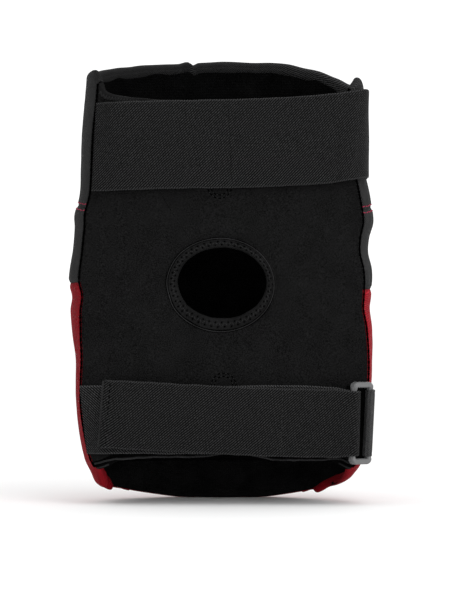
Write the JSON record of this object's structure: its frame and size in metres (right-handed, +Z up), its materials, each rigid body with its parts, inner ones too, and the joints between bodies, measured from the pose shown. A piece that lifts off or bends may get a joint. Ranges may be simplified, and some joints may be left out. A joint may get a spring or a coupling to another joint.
{
  "type": "elbow pad",
  "caption": "Strap-on elbow pad with a padded front panel, a hard cap, a stretch rear panel with an oval vent, a hook-and-loop upper strap and a lower strap turned back through a ring.",
  "frame": {"origin": "middle of the footprint, on the plane the bottom lip stands on", "axes": "+Z up along the arm tunnel towards the upper arm, +Y towards the hard cap over the point of the elbow, the straps cross the rear on the -Y side"},
  "size_m": [0.175, 0.1046, 0.256],
  "materials": {
    "cap_plastic": "satin",
    "rivet_steel": "satin",
    "washer_steel": "satin",
    "black_cover": "matte",
    "red_cover": "matte",
    "foam": "matte",
    "lining_knit": "matte",
    "rear_knit": "matte",
    "binding": "matte",
    "elastic": "matte",
    "hook_loop": "matte",
    "ring_plastic": "satin",
    "keeper_webbing": "matte"
  },
  "bodies": {
    "pad": {"hard_cap": "cap_plastic", "cap_rivets": "rivet_steel", "rivet_washers": "washer_steel", "upper_cover": "black_cover", "middle_cover": "black_cover", "lower_cover": "red_cover", "impact_foam": "foam", "comfort_foam": "foam", "front_lining": "lining_knit", "top_hem": "black_cover", "bottom_hem": "red_cover", "rear_panel": "rear_knit", "vent_edging": "binding", "rear_top_edging": "binding", "rear_bottom_edging": "binding", "left_seam_tape": "binding", "right_seam_tape": "binding", "upper_strap_anchor": "elastic", "upper_loop_patch": "hook_loop", "lower_strap_base": "elastic", "lower_loop_patch": "hook_loop", "ring_keeper": "keeper_webbing"},
    "strap_end": {"upper_strap_end": "elastic", "upper_hook_patch": "hook_loop"},
    "strap_span": {"upper_strap_span": "elastic"},
    "ring": {"strap_ring": "ring_plastic", "lower_strap_turn": "elastic"},
    "strap_tail": {"lower_strap_tail": "elastic", "lower_hook_patch": "hook_loop", "tail_end_tab": "elastic"}
  },
  "joints": [
    {"name": "upper_strap_swing", "type": "hinge", "parent": "pad", "child": "strap_span", "pos_m": [-0.07043, -0.0418, 0.20212], "axis": [0.0436, 0, -0.999], "range_deg": [0, 25]},
    {"name": "upper_strap_peel", "type": "hinge", "parent": "strap_span", "child": "strap_end", "pos_m": [0.08052, -0.0386, 0.20872], "axis": [0.0436, 0, -0.999], "range_deg": [0, 125]},
    {"name": "ring_swing", "type": "hinge", "parent": "pad", "child": "ring", "pos_m": [0.08276, -0.04059, 0.04663], "axis": [0.0262, 0, 0.9997], "range_deg": [0, 30]},
    {"name": "lower_strap_peel", "type": "hinge", "parent": "ring", "child": "strap_tail", "pos_m": [0.07358, -0.0513, 0.04687], "axis": [0.0262, 0, 0.9997], "range_deg": [0, 100]}
  ],
  "couplings": [
    {"joint": "upper_strap_swing", "follows": "upper_strap_peel", "ratio": 0.2}
  ]
}
